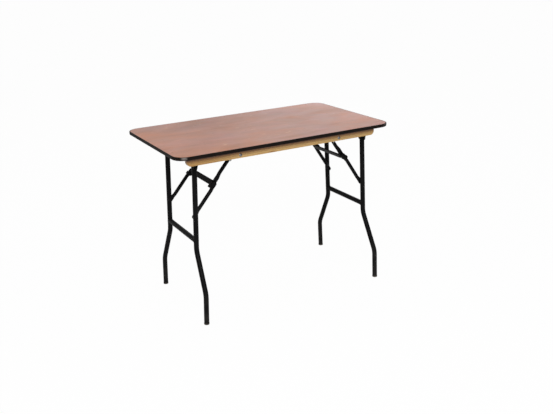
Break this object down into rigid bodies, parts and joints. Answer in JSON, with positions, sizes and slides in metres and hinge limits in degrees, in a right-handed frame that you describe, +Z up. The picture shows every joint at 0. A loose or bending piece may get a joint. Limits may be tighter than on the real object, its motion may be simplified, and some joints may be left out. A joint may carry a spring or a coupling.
{
  "type": "folding banquet table",
  "caption": "Folding banquet table with a varnished plywood top, a black rubber edge, pine side rails and black tube leg frames that fold under the top",
  "frame": {"origin": "on the floor under the middle of the table top, as it stands open", "axes": "+X along the table's length, towards the end where the leg frame stands close to the edge; +Y across the table; +Z up"},
  "size_m": [1.02, 0.59, 0.76],
  "materials": {
    "plywood": "satin varnish",
    "edging": "satin black rubber",
    "pine": "satin varnish",
    "painted_steel": "satin black powder coat",
    "rubber_foot": "matt black rubber",
    "zinc": "bright zinc plate"
  },
  "bodies": {
    "top": {"board": "plywood", "edge_moulding": "edging", "rail_near": "pine", "rail_far": "pine", "rail_cleat_left_near": "zinc", "left_leg_bracket_near": "painted_steel", "left_stay_bracket_near": "painted_steel", "rail_cleat_left_far": "zinc", "left_leg_bracket_far": "painted_steel", "left_stay_bracket_far": "painted_steel", "rail_cleat_right_near": "zinc", "right_leg_bracket_near": "painted_steel", "right_stay_bracket_near": "painted_steel", "rail_cleat_right_far": "zinc", "right_leg_bracket_far": "painted_steel", "right_stay_bracket_far": "painted_steel", "leg_pivot_bolts": "painted_steel", "leg_pivot_nuts": "painted_steel", "stay_bracket_rivets": "zinc", "bracket_screws": "zinc", "rail_screws": "zinc", "rail_bolts": "zinc", "rail_nuts": "zinc"},
    "left_leg_frame": {"left_leg_near": "painted_steel", "left_foot_near": "rubber_foot", "left_leg_far": "painted_steel", "left_foot_far": "rubber_foot", "left_leg_crossbar": "painted_steel", "left_stay_pins": "painted_steel"},
    "left_lower_stays": {"left_lower_stay_near": "painted_steel", "left_lower_stay_far": "painted_steel", "left_knuckle_caps": "painted_steel"},
    "left_upper_stays": {"left_upper_stay_near": "painted_steel", "left_upper_stay_far": "painted_steel", "left_link_bar": "painted_steel", "left_knuckle_stop_near": "painted_steel", "left_knuckle_stop_far": "painted_steel", "left_knuckle_rivets": "painted_steel"},
    "right_leg_frame": {"right_leg_near": "painted_steel", "right_foot_near": "rubber_foot", "right_leg_far": "painted_steel", "right_foot_far": "rubber_foot", "right_leg_crossbar": "painted_steel", "right_stay_pins": "painted_steel"},
    "right_lower_stays": {"right_lower_stay_near": "painted_steel", "right_lower_stay_far": "painted_steel", "right_knuckle_caps": "painted_steel"},
    "right_upper_stays": {"right_upper_stay_near": "painted_steel", "right_upper_stay_far": "painted_steel", "right_link_bar": "painted_steel", "right_knuckle_stop_near": "painted_steel", "right_knuckle_stop_far": "painted_steel", "right_knuckle_rivets": "painted_steel"}
  },
  "joints": [
    {"name": "left_leg_fold", "type": "hinge", "parent": "top", "child": "left_leg_frame", "pos_m": [-0.378, 0, 0.668], "axis": [0, -1, 0], "range_deg": [0, 92.15]},
    {"name": "left_upper_stay_turn", "type": "hinge", "parent": "top", "child": "left_upper_stays", "pos_m": [-0.2, 0, 0.668], "axis": [0, -1, 0], "range_deg": [-49.3, 0]},
    {"name": "left_lower_stay_turn", "type": "hinge", "parent": "left_leg_frame", "child": "left_lower_stays", "pos_m": [-0.3861, 0, 0.45215], "axis": [0, -1, 0], "range_deg": [0, 38.7]},
    {"name": "right_leg_fold", "type": "hinge", "parent": "top", "child": "right_leg_frame", "pos_m": [0.461, 0, 0.668], "axis": [0, 1, 0], "range_deg": [0, 89]},
    {"name": "right_upper_stay_turn", "type": "hinge", "parent": "top", "child": "right_upper_stays", "pos_m": [0.327, 0, 0.668], "axis": [0, 1, 0], "range_deg": [-56.7, 0]},
    {"name": "right_lower_stay_turn", "type": "hinge", "parent": "right_leg_frame", "child": "right_lower_stays", "pos_m": [0.4691, 0, 0.45215], "axis": [0, 1, 0], "range_deg": [0, 31.3]}
  ],
  "couplings": [
    {"joint": "left_upper_stay_turn", "follows": "left_leg_fold", "ratio": -0.53426},
    {"joint": "left_lower_stay_turn", "follows": "left_leg_fold", "ratio": 0.41907},
    {"joint": "right_upper_stay_turn", "follows": "right_leg_fold", "ratio": -0.61466},
    {"joint": "right_lower_stay_turn", "follows": "right_leg_fold", "ratio": 0.33868}
  ]
}
